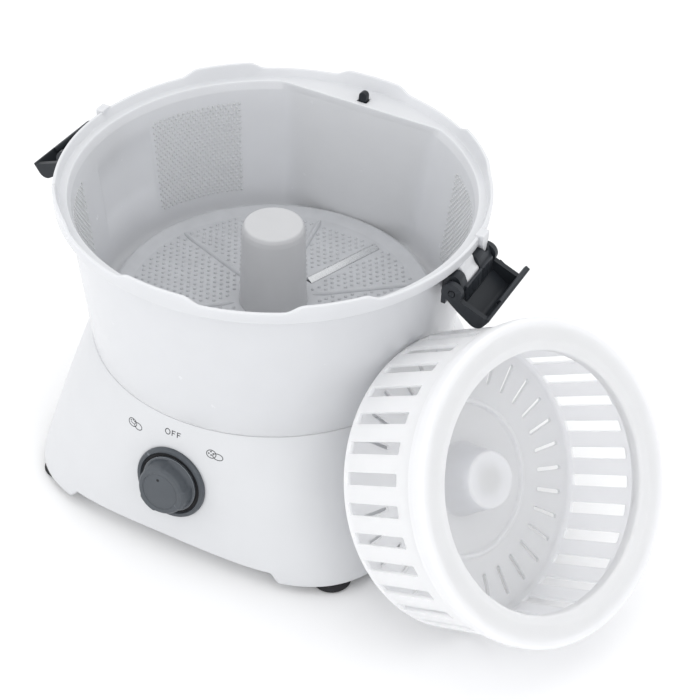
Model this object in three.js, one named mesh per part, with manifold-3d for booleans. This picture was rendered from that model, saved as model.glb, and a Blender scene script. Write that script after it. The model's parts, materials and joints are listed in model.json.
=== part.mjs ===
// Electric potato peeler: motor base, lift-off peeling bowl with a driven
// disc, two side latches and a spin basket leaning on the bowl.
// Millimetres, +Z up. The origin is on the spin axis, in the plane of the
// underside of the bottom plate; the front, with the knob, faces -Y.
import * as THREE from 'three';
import { mergeVertices } from 'three/addons/utils/BufferGeometryUtils.js';
import Module from 'manifold-3d';

const wasm = await Module();
wasm.setup();

// ---- driving dimensions ---------------------------------------------------
const N = 48;                    // segments round the large rings
const NB = 32;                   // and round the basket, one facet to a slot
const FLOOR_Z = -9;              // what the feet stand on
const BASE_TOP_Z = 84;           // top edge of the base, the seam under the bowl
const BASE_TOP_R = 109.4;        // base radius at the seam
const BASE_HALF = 123.5;         // half width of the base at its bottom edge
const BASE_EXP = 3.8;            // roundness of the base outline at the bottom
const BASE_WALL = 2.8;
const SKIRT_Z = 3;               // bottom edge between the corners
const LEG_Z = -3;                // bottom edge at the corners
const LEG_HALF_DEG = 15;
const DECK_Z = 81.5;             // top of the deck under the bowl
const DECK_T = 3;
const PLATE_T = 3;
const FOOT_AT = 95;              // foot centres at +-95, +-95
const FOOT_R = 12;
const BOSS_AT = 70;

const RIM_R = 126;               // outer radius of the bowl's flange
const RIM_Z = 185;
const BAND_H = 7;                // height of the flange band
const CREST_H = 4;               // low crests round the rim
const LEDGE_Z = 180;             // ledge that the lid rests on
const BOWL_R0 = 109;             // outer wall radius at the seam
const BOWL_R1 = 118.5;           // outer wall radius under the flange
const BOWL_Z0 = 84.6;
const BOWL_Z1 = 176;
const BOWL_WALL = 2.6;
const BOWL_FLOOR = 91.5;
const FLAT_Y = 104.3;            // chord wall at the back, at z = 178
const SLEEVE_R = 12;
const SLEEVE_BORE = 9.2;
const SLEEVE_TOP = 106;

const HUB_R = 18.4;              // radius at the top of the hub
const HUB_TOP = 153.5;
const DISC_R = 97.8;
const DISC_Z = 95;

const GAP = 0.3;                 // gap between pieces that touch

const PIV_X = 127.2;             // latch pivot
const PIV_Z = 169.5;
const LATCH_OPEN_DEG = 35;       // lever hangs this far below level when open

const OUT_T = 48, IDL_P = 16, OUT_M = 1.25;   // output pair
const IDL_T = 42, MOT_T = 12, MOT_M = 1.0;    // motor pair
const IDLER = [-40.2, 0];
const MOT_DIR = 140 * Math.PI / 180;
const MOTOR = [IDLER[0] + 27.2 * Math.cos(MOT_DIR), IDLER[1] + 27.2 * Math.sin(MOT_DIR)];

const FACE_SLOPE = (BASE_HALF - BASE_TOP_R) / BASE_TOP_Z;
const FACE_TILT = Math.atan(FACE_SLOPE);
const KNOB_Z = 42;

const BASKET_AZ = -17.8, BASKET_EL = 33.3;
const BASKET_MOUTH = [210.5, -67.3, 101.35];
const BASKET_R = 89.6, BASKET_R0 = 84.6, BASKET_H = 73.6;
const BASKET_LIP_R = 71;
const SLOTS = 32;
const SLOT_PHASE = -27.7;        // degrees, middle of one side slot

// ---- helpers --------------------------------------------------------------
const group = new THREE.Group();
group.name = 'electric_potato_peeler';
const rad = (d) => d * Math.PI / 180;

function clean(geo) {
  const g = new THREE.BufferGeometry();
  g.setAttribute('position', geo.getAttribute('position').clone());
  if (geo.index) g.setIndex(geo.index.clone());
  const m = mergeVertices(g, 1e-4);
  const p = m.getAttribute('position'), ix = m.index.array, keep = [];
  for (let i = 0; i < ix.length; i += 3) {
    const [a, b, c] = [ix[i], ix[i + 1], ix[i + 2]];
    if (a !== b && b !== c && c !== a) keep.push(a, b, c);
  }
  // turn the shell so that its faces point out
  let vol = 0;
  const A = new THREE.Vector3(), B = new THREE.Vector3(), C = new THREE.Vector3();
  for (let i = 0; i < keep.length; i += 3) {
    A.fromBufferAttribute(p, keep[i]); B.fromBufferAttribute(p, keep[i + 1]); C.fromBufferAttribute(p, keep[i + 2]);
    vol += A.dot(B.cross(C));
  }
  if (vol < 0) for (let i = 0; i < keep.length; i += 3) [keep[i + 1], keep[i + 2]] = [keep[i + 2], keep[i + 1]];
  m.setIndex(keep);
  return m;
}
function man(geo) {
  const m = clean(geo);
  return new wasm.Manifold(new wasm.Mesh({
    numProp: 3,
    vertProperties: new Float32Array(m.getAttribute('position').array),
    triVerts: new Uint32Array(m.index.array),
  }));
}
function geo(solid) {
  const m = solid.getMesh();
  const g = new THREE.BufferGeometry();
  g.setAttribute('position', new THREE.BufferAttribute(new Float32Array(m.vertProperties), 3));
  g.setIndex(new THREE.BufferAttribute(new Uint32Array(m.triVerts), 1));
  g.computeVertexNormals();
  return g;
}
const cyl = (r, z0, z1, x = 0, y = 0, seg = 24, r2 = r) =>
  new THREE.CylinderGeometry(r2, r, z1 - z0, seg).rotateX(Math.PI / 2).translate(x, y, (z0 + z1) / 2);
const box = (x0, x1, y0, y1, z0, z1) =>
  new THREE.BoxGeometry(x1 - x0, y1 - y0, z1 - z0).translate((x0 + x1) / 2, (y0 + y1) / 2, (z0 + z1) / 2);
function lathe(pts, seg = 24) {
  return clean(new THREE.LatheGeometry(pts.map((p) => new THREE.Vector2(p[0], p[1])), seg).rotateX(Math.PI / 2));
}
const ringLathe = (pts, seg = 24) => lathe([...pts, pts[0]], seg);
function prism(pts, z0, z1, holes = []) {
  const s = new THREE.Shape(pts.map((p) => new THREE.Vector2(p[0], p[1])));
  for (const h of holes) s.holes.push(new THREE.Path(h.map((p) => new THREE.Vector2(p[0], p[1]))));
  return new THREE.ExtrudeGeometry(s, { depth: z1 - z0, bevelEnabled: false }).translate(0, 0, z0);
}
const arc = (cx, cy, r, a0, a1, n) => Array.from({ length: n + 1 }, (_, i) => { const a = rad(a0 + (a1 - a0) * i / n); return [cx + r * Math.cos(a), cy + r * Math.sin(a)]; });
// drawn for the +X side in (x, z) and extruded along Y
function side(pts, y0, y1, holes = []) {
  const g = prism(pts, y0, y1, holes);            // (a, b, y)
  return g.applyMatrix4(new THREE.Matrix4().set(1, 0, 0, 0, 0, 0, 1, 0, 0, 1, 0, 0, 0, 0, 0, 1));
}
const circle = (r, x = 0, y = 0, seg = 24, ph = 0) =>
  Array.from({ length: seg }, (_, i) => [x + r * Math.cos(ph + i * 2 * Math.PI / seg), y + r * Math.sin(ph + i * 2 * Math.PI / seg)]);
function hull(pts) {
  const p = [...pts].sort((a, b) => a[0] - b[0] || a[1] - b[1]);
  const cr = (o, a, b) => (a[0] - o[0]) * (b[1] - o[1]) - (a[1] - o[1]) * (b[0] - o[0]);
  const half = (q) => { const h = []; for (const c of q) { while (h.length > 1 && cr(h[h.length - 2], h[h.length - 1], c) <= 0) h.pop(); h.push(c); } h.pop(); return h; };
  return [...half(p), ...half([...p].reverse())];
}
// rings: closed loops with the same number of points, joined one to the next
// and the last to the first
function loft(rings) {
  const n = rings[0].length, pos = [], ix = [];
  for (const r of rings) for (const p of r) pos.push(...p);
  for (let i = 0; i < rings.length; i++) {
    const a = i * n, b = ((i + 1) % rings.length) * n;
    for (let j = 0; j < n; j++) {
      const k = (j + 1) % n;
      ix.push(a + j, a + k, b + k, a + j, b + k, b + j);
    }
  }
  const g = new THREE.BufferGeometry();
  g.setAttribute('position', new THREE.Float32BufferAttribute(pos, 3));
  g.setIndex(ix);
  return clean(g);
}
function add(name, g, color, rough, metal = 0, parent = group) {
  const m = new THREE.Mesh(g, new THREE.MeshStandardMaterial({ color, roughness: rough, metalness: metal }));
  m.name = name;
  parent.add(m);
  return m;
}
const WHITE = 0xe9eaee, DARK = 0x2b2d30, GREY = 0x4b5056, HUBC = 0xc3c8d0, STEEL = 0xb9bcc0, BRONZE = 0xa77c46;

// ---- base housing ---------------------------------------------------------
const angs = Array.from({ length: N }, (_, i) => i * 2 * Math.PI / N);
function baseR(th, z, off = 0) {
  const t = Math.min(1, Math.max(0, (BASE_TOP_Z - z) / BASE_TOP_Z));
  const a = BASE_TOP_R + (BASE_HALF - BASE_TOP_R) * t - off;
  const n = 2 + (BASE_EXP - 2) * t;
  return a / Math.pow(Math.pow(Math.abs(Math.cos(th)), n) + Math.pow(Math.abs(Math.sin(th)), n), 1 / n);
}
function bottomZ(th) {
  const d = ((th * 180 / Math.PI) % 90 + 90) % 90 - 45;       // from the nearest diagonal
  const e = Math.abs(d) - LEG_HALF_DEG;
  return e <= -3 ? LEG_Z : e >= 3 ? SKIRT_Z : LEG_Z + (SKIRT_Z - LEG_Z) * (e + 3) / 6;
}
const ringAt = (rf, zf) => angs.map((th) => { const r = rf(th), z = zf(th); return [r * Math.cos(th), r * Math.sin(th), z]; });
const baseRing = (z, off) => ringAt((th) => baseR(th, z, off), () => z);
const roundRing = (r, z) => ringAt(() => r, () => z);
let housing = man(loft([
  ringAt((th) => baseR(th, bottomZ(th)), bottomZ),
  baseRing(14, 0), baseRing(30, 0), baseRing(48, 0), baseRing(66, 0), baseRing(82.4, 0),
  roundRing(BASE_TOP_R - 1, BASE_TOP_Z), roundRing(105.6, BASE_TOP_Z), roundRing(105, DECK_Z),
  roundRing(24, DECK_Z), roundRing(23.5, DECK_Z + 2), roundRing(17, DECK_Z + 2), roundRing(17, DECK_Z - DECK_T),
  roundRing(103, DECK_Z - DECK_T), baseRing(70, BASE_WALL), baseRing(48, BASE_WALL), baseRing(30, BASE_WALL),
  baseRing(14, BASE_WALL), ringAt((th) => baseR(th, bottomZ(th), BASE_WALL), bottomZ),
]));
const corners = [[1, 1], [-1, 1], [-1, -1], [1, -1]];
for (const [sx, sy] of corners) {
  housing = housing.add(man(cyl(5, PLATE_T + GAP, DECK_Z - 1, sx * BOSS_AT, sy * BOSS_AT, 16)));
}
for (const [sx, sy] of corners) {
  housing = housing.subtract(man(cyl(1.9, PLATE_T - 1, 20, sx * BOSS_AT, sy * BOSS_AT, 12)));
}
// the knob's seat, the cord gland's hole and the interlock plunger's hole
const front = new THREE.Matrix4().makeRotationX(Math.PI / 2 - FACE_TILT)
  .setPosition(0, -(BASE_TOP_R + (BASE_TOP_Z - KNOB_Z) * FACE_SLOPE), KNOB_Z);
const GLAND_Z = 20;
const rear = new THREE.Matrix4().makeRotationX(-(Math.PI / 2 - FACE_TILT))
  .setPosition(0, BASE_TOP_R + (BASE_TOP_Z - GLAND_Z) * FACE_SLOPE, GLAND_Z);
housing = housing.subtract(man(cyl(21.3, -12, 8, 0, 0, 36).applyMatrix4(front)));
housing = housing.subtract(man(cyl(6.4, -10, 8, 0, 0, 20).applyMatrix4(rear)));
const ROD_TOP = [0, 110.2, 178];
const ROD_SLOPE = 0.07;                         // the rod and the chord wall lean in
const rodY = (z) => ROD_TOP[1] - ROD_SLOPE * (ROD_TOP[2] - z);
const PLUNGER_Y = 103.6;
housing = housing.subtract(man(cyl(2.6, 74, 90, 0, PLUNGER_Y, 12)));
add('base_housing', geo(housing), WHITE, 0.28);

// ---- bottom plate, screws, feet -------------------------------------------
const plateRing = (z) => ringAt((th) => baseR(th, 3, BASE_WALL + 1.2), () => z);
let plate = man(prism(plateRing(0).map((p) => [p[0], p[1]]), 0, PLATE_T));
for (const [sx, sy] of corners) {
  plate = plate.subtract(man(cyl(2.1, -1, PLATE_T + 1, sx * BOSS_AT, sy * BOSS_AT, 12)));
  plate = plate.subtract(man(cyl(4.4, -1, PLATE_T + 1, sx * FOOT_AT, sy * FOOT_AT, 12)));
}
for (let i = 0; i < 5; i++) {
  const x = MOTOR[0] - 18 + i * 9;
  plate = plate.subtract(man(box(x - 1.6, x + 1.6, MOTOR[1] - 18, MOTOR[1] + 18, -1, PLATE_T + 1)));
}
add('base_plate', geo(plate), 0xd9dade, 0.5);
const footNames = ['foot_rear_right', 'foot_rear_left', 'foot_front_left', 'foot_front_right'];
corners.forEach(([sx, sy], i) => {
  const g = lathe([[0, FLOOR_Z], [FOOT_R - 1, FLOOR_Z], [FOOT_R, FLOOR_Z + 1.2], [FOOT_R - 1.2, LEG_Z - 0.5], [6.5, LEG_Z - 0.5], [6.2, -GAP], [4.05, -GAP],
    [4.05, PLATE_T + GAP], [5.6, PLATE_T + GAP], [3.4, PLATE_T + 3.4], [0, PLATE_T + 3.4]], 16);
  add(footNames[i], g, 0x1b1c1e, 0.8).position.set(sx * FOOT_AT, sy * FOOT_AT, 0);
});
const screwGeo = (headR, headH, r, len) => lathe([[0, -headH], [headR - 0.6, -headH], [headR, -headH + 0.6], [headR, 0],
  [r, 0], [r, len - 1], [r - 0.8, len], [0, len]], 12);
corners.forEach(([sx, sy], i) => {
  add(`plate_screw_${i + 1}`, screwGeo(4, 2.4, 1.55, 18).translate(0, 0, -GAP), STEEL, 0.35, 0.9)
    .position.set(sx * BOSS_AT, sy * BOSS_AT, 0);
});

// ---- control knob ---------------------------------------------------------
const knobGroup = new THREE.Group();
knobGroup.applyMatrix4(front);
group.add(knobGroup);
add('control_bezel', ringLathe([[22.6, 0.5], [22.6, 1.6], [21.6, 2.6], [19.8, 2.6], [18.4, 0.6], [8, 0.6], [8, -2.6], [20.9, -2.6], [20.9, 0.5]], 28),
  GREY, 0.45, 0, knobGroup);
let knob = man(lathe([[0, 1], [17.4, 1], [17.3, 3.5], [15.9, 12], [14.9, 13], [11.6, 13], [11.2, 12.5], [0, 12.5]], 36));
knob = knob.subtract(man(cyl(3.2, 0, 9.4, 0, 0, 16)));
add('control_knob', geo(knob), GREY, 0.4, 0, knobGroup);
add('knob_spindle', lathe([[0, -15], [2.8, -15], [2.8, 9], [0, 9]], 16), 0xd8d8d8, 0.5, 0, knobGroup);
const sw = man(box(-14, 14, -12, 12, -27, -3)).subtract(man(cyl(3.15, -15.4, 0, 0, 0, 16)));
add('rotary_switch', geo(sw), 0x3a3a3c, 0.6, 0, knobGroup);

// ---- gear train -----------------------------------------------------------
function gearPts(teeth, m, phase) {
  const rp = m * teeth / 2, rt = rp + 0.9 * m, rr = rp - 1.25 * m, pts = [], p = 2 * Math.PI / teeth;
  for (let i = 0; i < teeth; i++) {
    const a = phase + i * p;
    for (const [r, f] of [[rr, -0.32], [rt, -0.10], [rt, 0.10], [rr, 0.32]]) {
      pts.push([r * Math.cos(a + f * p), r * Math.sin(a + f * p)]);
    }
  }
  return pts;
}
const shift = (pts, x, y) => pts.map((q) => [q[0] + x, q[1] + y]);
const outPh = Math.PI;                                   // a tooth points at the idler
const idlPPh = Math.PI / IDL_P;                          // a gap points at the output gear
const idlPh = MOT_DIR;                                   // a tooth points at the motor
const motPh = MOT_DIR + Math.PI + Math.PI / MOT_T;       // a gap points at the idler
const ZA0 = 57.5, ZA1 = 64.5, ZB0 = 66, ZB1 = 74;
let outGear = man(prism(gearPts(OUT_T, OUT_M, outPh), ZB0, ZB1, [circle(5.3, 0, 0, 20)]));
outGear = outGear.subtract(man(ringLathe([[12, ZB0 - 1], [12, ZB0 + 2.5], [25, ZB0 + 2.5], [25, ZB0 - 1]], 32)));
add('output_gear', geo(outGear), 0xe6e2d2, 0.5);
let shaft = man(cyl(5, 50.5, 88.5, 0, 0, 20)).add(man(cyl(13.4 / Math.sqrt(3), 88, 121, 0, 0, 6)));
add('drive_shaft', geo(shaft), STEEL, 0.3, 0.9);
let idler = man(prism(gearPts(IDL_T, MOT_M, idlPh), ZA0, ZA1))
  .add(man(prism(gearPts(IDL_P, OUT_M, idlPPh), ZA1 - 0.5, ZB1)))
  .subtract(man(cyl(2.35, ZA0 - 1, ZB1 + 1, 0, 0, 16)));
add('idler_gear', geo(idler), 0xe6e2d2, 0.5).position.set(IDLER[0], IDLER[1], 0);
add('idler_pin', lathe([[0, 53.4], [2, 53.4], [2, 75.1], [0, 75.1]], 16), STEEL, 0.3, 0.9).position.set(IDLER[0], IDLER[1], 0);
add('motor_pinion', clean(prism(gearPts(MOT_T, MOT_M, motPh), ZA0, ZA1, [circle(2.8, 0, 0, 16)])), BRONZE, 0.4, 0.8)
  .position.set(MOTOR[0], MOTOR[1], 0);
add('motor_shaft', lathe([[0, 5], [2.5, 5], [2.5, 65], [0, 65]], 16), STEEL, 0.3, 0.9).position.set(MOTOR[0], MOTOR[1], 0);
let fan = man(ringLathe([[2.8, 5], [2.8, 10], [6, 10], [6, 5]], 16));
for (let i = 0; i < 8; i++) fan = fan.add(man(box(5, 21, -0.7, 0.7, 5.2, 9.8).applyMatrix4(new THREE.Matrix4().makeRotationZ(i * Math.PI / 4))));
add('cooling_fan', geo(fan), 0x1f2022, 0.6).position.set(MOTOR[0], MOTOR[1], 0);
let can = man(cyl(29, 16, 52.7, 0, 0, 32)).subtract(man(cyl(24, 15, 49, 0, 0, 32))).subtract(man(cyl(4, 40, 60, 0, 0, 16)));
for (let i = 0; i < 6; i++) can = can.subtract(man(box(14, 40, -3, 3, 40, 44).applyMatrix4(new THREE.Matrix4().makeRotationZ((i + 0.5) * Math.PI / 3))));
add('motor_can', geo(can), 0x8c9094, 0.4, 0.8).position.set(MOTOR[0], MOTOR[1], 0);
let rotor = ringLathe([[2.8, 19], [2.8, 45], [22.5, 45], [22.5, 19]], 24);
add('motor_rotor', rotor, 0x6d6258, 0.5, 0.6).position.set(MOTOR[0], MOTOR[1], 0);
let bell = man(ringLathe([[3, 11.5], [3, 14.6], [6, 15.7], [29, 15.7], [29, 13.5], [24, 11.5]], 32));
for (let i = 0; i < 6; i++) bell = bell.subtract(man(box(10, 20, -3, 3, 5, 20).applyMatrix4(new THREE.Matrix4().makeRotationZ(i * Math.PI / 3))));
add('motor_end_bell', geo(bell), 0x8c9094, 0.4, 0.8).position.set(MOTOR[0], MOTOR[1], 0);

// ---- gearbox --------------------------------------------------------------
const hullOf = (e) => hull([...circle(34 + e, 0, 0, 28), ...circle(25 + e, IDLER[0], IDLER[1], 24), ...circle(10 + e, MOTOR[0], MOTOR[1], 16)]);
const GSCREWS = [[28, 31], [30, -29], [-52, -29]];
let gplate = man(prism(hullOf(2.5), 53, 56.2));
for (const [x, y] of GSCREWS) gplate = gplate.add(man(cyl(6, 53, 56.2, x, y, 16)));
for (const [x, y] of GSCREWS) gplate = gplate.subtract(man(cyl(1.9, 52, 57, x, y, 12)));
gplate = gplate.subtract(man(cyl(5.4, 52, 57, 0, 0, 20))).subtract(man(cyl(2.35, 52, 57, IDLER[0], IDLER[1], 16)))
  .subtract(man(cyl(4, 52, 57, MOTOR[0], MOTOR[1], 16)));
add('gearbox_plate', geo(gplate), 0x55585c, 0.5);
let gcover = man(prism(hullOf(2.5), 56.5, 78)).subtract(man(prism(hullOf(0), 56, 75.5)));
for (const [x, y] of GSCREWS) gcover = gcover.add(man(cyl(6, 56.5, 78, x, y, 16)).subtract(man(prism(hullOf(0), 56, 79))));
for (const [x, y] of GSCREWS) gcover = gcover.subtract(man(cyl(1.9, 56, 72, x, y, 12)));
gcover = gcover.subtract(man(cyl(8.3, 74, 79, 0, 0, 20)));
add('gearbox_cover', geo(gcover), 0x55585c, 0.5);
GSCREWS.forEach(([x, y], i) => add(`gearbox_screw_${i + 1}`, screwGeo(3.6, 2.2, 1.55, 17), STEEL, 0.35, 0.9).position.set(x, y, 53 - GAP));
add('shaft_bush', ringLathe([[5.35, 74.5], [5.35, 78.2], [8, 78.2], [8, 74.5]], 20), BRONZE, 0.4, 0.8);
add('deck_seal', ringLathe([[5.4, 79.6], [5.4, 81.2], [8, 83.2], [12, 83.2], [12, 81], [16.7, 81], [16.7, 78.8], [8, 78.8]], 20), 0x222326, 0.8);

// ---- interlock switch, gland, inner leads ---------------------------------
const micro = man(box(-10, 10, PLUNGER_Y - 7, PLUNGER_Y + 2.4, 54, 70)).subtract(man(cyl(2.35, 62, 80, 0, PLUNGER_Y, 12)));
add('microswitch', geo(micro), 0x26272a, 0.6);
add('switch_plunger', lathe([[0, 67.5], [2, 67.5], [2, 84], [1.4, 84.8], [0, 84.8]], 12), 0xb23a2c, 0.5).position.set(0, PLUNGER_Y, 0);
const rearGroup = new THREE.Group();
rearGroup.applyMatrix4(rear);
group.add(rearGroup);
add('cord_gland', ringLathe([[3.6, -7], [3.6, 7], [5.2, 7], [6.6, 2.6], [9, 2.6], [9, 0.5], [6.05, 0.5], [6.05, -3.5], [8, -3.5], [7, -7]], 20),
  DARK, 0.7, 0, rearGroup);
function tube(pts, r, steps, sides = 8) {
  const s = new THREE.Shape(circle(r, 0, 0, sides).map((p) => new THREE.Vector2(p[0], p[1])));
  return clean(new THREE.ExtrudeGeometry(s, { steps, bevelEnabled: false,
    extrudePath: new THREE.CatmullRomCurve3(pts.map((p) => new THREE.Vector3(...p))) }));
}
add('supply_lead', tube([[0, 108, 18], [8, 96, 14], [40, 78, 8], [88, 40, 6], [92, 0, 6], [88, -40, 6], [40, -80, 14], [16, -86, 30]], 1.4, 20, 6), 0x3a3a3a, 0.6);
add('motor_lead', tube([[-15.5, -86, 36], [-30, -80, 22], [-44, -60, 9], [-54, -40, 9], [-61, -14, 9.5]], 1.3, 12, 6), 0x7a3b2e, 0.6);

// ---- bowl -----------------------------------------------------------------
const wallR = (z) => BOWL_R0 + (BOWL_R1 - BOWL_R0) * (z - BOWL_Z0) / (BOWL_Z1 - BOWL_Z0);
const flatY = (z) => FLAT_Y - ROD_SLOPE * (178 - z);
const inner = (th, r, z) => { const s = Math.sin(th); return s > 0.2 ? Math.min(r, flatY(z) / s) : r; };
const crest = (th) => {
  let c = 0;
  for (const k of [45, 90, 135, 225, 270, 315]) {
    const d = Math.abs(((th * 180 / Math.PI - k + 540) % 360) - 180);
    c = Math.max(c, Math.min(1, Math.max(0, (12 - d) / 4)));
  }
  return c * CREST_H;
};
const inRing = (r, z) => ringAt((th) => inner(th, r, z), () => z);
let bowl = man(loft([
  roundRing(wallR(BOWL_Z0) - BOWL_WALL, BOWL_Z0), roundRing(wallR(BOWL_Z0), BOWL_Z0),
  roundRing(wallR(130), 130), roundRing(BOWL_R1, BOWL_Z1), roundRing(RIM_R - 0.8, RIM_Z - BAND_H),
  roundRing(RIM_R, RIM_Z - BAND_H + 0.8), ringAt(() => RIM_R, (th) => RIM_Z + crest(th) - 0.6),
  ringAt(() => RIM_R - 0.6, (th) => RIM_Z + crest(th)), ringAt(() => RIM_R - 1.6, (th) => RIM_Z + crest(th)),
  roundRing(122, LEDGE_Z), inRing(118, LEDGE_Z), inRing(BOWL_R1 - BOWL_WALL, BOWL_Z1 - 1),
  inRing(wallR(130) - BOWL_WALL, 130), inRing(wallR(97) - BOWL_WALL, 97), inRing(wallR(92) - BOWL_WALL - 4, BOWL_FLOOR),
  roundRing(SLEEVE_R, BOWL_FLOOR), roundRing(SLEEVE_R, SLEEVE_TOP), roundRing(SLEEVE_BORE, SLEEVE_TOP),
  roundRing(SLEEVE_BORE, BOWL_FLOOR - 3), roundRing(wallR(88) - BOWL_WALL, BOWL_FLOOR - 3),
]));
// the channel behind the chord wall, open at the bottom, for the interlock rod
const chan = man(cyl(wallR(80) - BOWL_WALL, 80, BOWL_Z1 + 1, 0, 0, N, wallR(BOWL_Z1 + 1) - BOWL_WALL))
  .intersect(man(new THREE.BoxGeometry(300, 200, 97).translate(0, 100, 0)
    .applyMatrix4(new THREE.Matrix4().set(1, 0, 0, 0, 0, 1, ROD_SLOPE, flatY(128.5) + BOWL_WALL, 0, 0, 1, 128.5, 0, 0, 0, 1))));
bowl = bowl.subtract(chan);
const rodM = new THREE.Matrix4().makeRotationX(-Math.atan(ROD_SLOPE)).setPosition(...ROD_TOP);
bowl = bowl.subtract(man(box(-3.4, 3.4, -3, 3, -8, 12).applyMatrix4(rodM)));
// tab between the latch knuckles, bored for the pin, and the lug over each latch
const EAR = [[8, RIM_Z + 1.4], [16.2, RIM_Z + 1.4], [15.9, 180.4], [14.2, 177.6], [13.6, 174.4], [11.4, 174.4], [8.4, 180]];
const YZ_X = new THREE.Matrix4().set(0, 0, 1, 0, 1, 0, 0, 0, 0, 1, 0, 0, 0, 0, 0, 1);
for (const sx of [1, -1]) {
  let t = man(side([[115.3, 160.5], [123, 160.5], ...arc(PIV_X, PIV_Z, 3.6, -125, 62, 8), [127.6, 174.4], [126, 178.4], [117.3, 178.4]], -14, 0.5))
    .subtract(man(side(circle(2.2, PIV_X, PIV_Z, 16), -20, 20)));
  t = t.add(man(prism(EAR, 123.4, 128.6)
    .applyMatrix4(YZ_X)));
  bowl = bowl.add(sx > 0 ? t : t.mirror([1, 0, 0]));
}
add('bowl', geo(bowl), WHITE, 0.22);

// ---- interlock rod --------------------------------------------------------
const ROD_LEN = (ROD_TOP[2] - 85.6) / Math.cos(Math.atan(ROD_SLOPE));
let rod = man(box(-2.6, 2.6, -2.2, 2.2, -3, 5.4)).add(man(cyl(2.6, -2.2, 2.2, 0, 0, 20).rotateX(Math.PI / 2).translate(0, 0, 5.4)))
  .add(man(cyl(2.2, -ROD_LEN, -2, 0, 0, 12)));
const rodGroup = new THREE.Group();
rodGroup.applyMatrix4(rodM);
group.add(rodGroup);
add('interlock_rod', geo(rod), DARK, 0.5, 0, rodGroup);

// ---- hub, disc ------------------------------------------------------------
let hub = man(lathe([[0, HUB_TOP], [HUB_R - 2.2, HUB_TOP], [HUB_R - 0.6, HUB_TOP - 1.2], [HUB_R + 0.4, HUB_TOP - 5], [20.2, 101], [20.6, 98.6], [0, 98.6]], 28))
  .subtract(man(cyl(13.6, 90, 108, 0, 0, 28)))
  .subtract(man(cyl(HUB_R - 2.8, 122, HUB_TOP - 2.6, 0, 0, 24)))
  .subtract(man(cyl(14.2 / Math.sqrt(3), 107, 123, 0, 0, 6)));
add('drive_hub', geo(hub), HUBC, 0.3);
let disc = man(ringLathe([[14, DISC_Z], [14, DISC_Z + 3.3], [88, DISC_Z + 3.3], [DISC_R - 2, DISC_Z + 5.5], [DISC_R, DISC_Z + 5], [DISC_R, DISC_Z + 3.6], [90, DISC_Z]], N));
const BLADE = [28, 84];
for (const s of [0, 1]) {
  const c = man(box(BLADE[0] - 0.5, BLADE[1] + 0.5, -3.4, 3.4, DISC_Z + 1.4, DISC_Z + 9).applyMatrix4(new THREE.Matrix4().makeRotationZ(s * Math.PI + rad(70))));
  disc = disc.subtract(c);
}
add('peeling_disc', geo(disc), HUBC, 0.35);
for (const s of [0, 1]) {
  const pts = [[-3, DISC_Z + 1.7], [3, DISC_Z + 1.7], [3, DISC_Z + 3.2], [1.5, DISC_Z + 5.4], [0.4, DISC_Z + 5.4], [-3, DISC_Z + 3.2]];
  const g = new THREE.ExtrudeGeometry(new THREE.Shape(pts.map((p) => new THREE.Vector2(p[0], p[1]))), { depth: BLADE[1] - BLADE[0], bevelEnabled: false });
  // profile plane to (tangential, z), length to radial
  g.applyMatrix4(new THREE.Matrix4().set(0, 0, 1, BLADE[0], 1, 0, 0, 0, 0, 1, 0, 0, 0, 0, 0, 1));
  g.applyMatrix4(new THREE.Matrix4().makeRotationZ(s * Math.PI + rad(70)));
  add(`disc_blade_${s + 1}`, clean(g), STEEL, 0.3, 0.9);
}

// ---- latches --------------------------------------------------------------
const leverTilt = new THREE.Matrix4().makeRotationY(rad(LATCH_OPEN_DEG)).setPosition(PIV_X, 0, PIV_Z);
function lever() {
  const nose = [[18.6, -6.2], [21.2, -5.8], [23.3, -4.6], [24.5, -3.1], [24.9, -1.4], [24.9, 5.2], [24.3, 5.8]];
  const tray = [[9.6, -6.2], ...nose, [23.3, 5.8], [22.9, 5.2], [22.9, -3], [21.6, -4.4], [9.6, -4.6]];
  const plateP = [[9.6, -6.2], ...nose, [22.9, 5.8], [22.9, 4.4], ...arc(0, 0, 6.2, 2, 238, 12)];
  let m = man(side(tray, -27.5, 27.5));
  for (const y of [-27.5, 16.7]) m = m.add(man(side(plateP, y, y + 3.3)));
  // thicker lip for the finger, past the rear plate
  m = m.add(man(side([[21.6, 5.2], [21.6, 3.2], [22.5, 2.2], [23.5, 2.2], [23.5, 5.8], [22.2, 5.8]], -9, 27.5)));
  m = m.subtract(man(cyl(2.2, -40, 40, 0, 0, 16).rotateX(Math.PI / 2)));
  return m;
}
// cheek of the latch bracket, its share of the face plate in front of the pin
function knuckle(y0, y1, c0, c1, f0, f1) {
  const m = man(side([[121.6, 157], [121.6, 165.2], ...arc(PIV_X, PIV_Z, 4, -100, 20, 8), ...arc(125.6, 173.2, 4, 20, 150, 8), [121.6, 175.5], [118.9, 175.5], [118.9, 157]], y0, y1))
    .add(man(box(120, 132.7, c0, c1, 160.4, 171))).add(man(box(131.1, 132.7, f0, f1, 160.4, 171)));
  return m.subtract(man(cyl(2.2, -40, 40, 0, 0, 16).rotateX(Math.PI / 2).translate(PIV_X, 0, PIV_Z)));
}
const mirrorX = (g) => { const h = g.clone().applyMatrix4(new THREE.Matrix4().makeScale(-1, 1, 1)); return clean(h); };
const leverGeo = geo(lever()).applyMatrix4(leverTilt), frontKnuckle = geo(knuckle(-22, -15, -19, -15, -19, 0.6));
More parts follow.
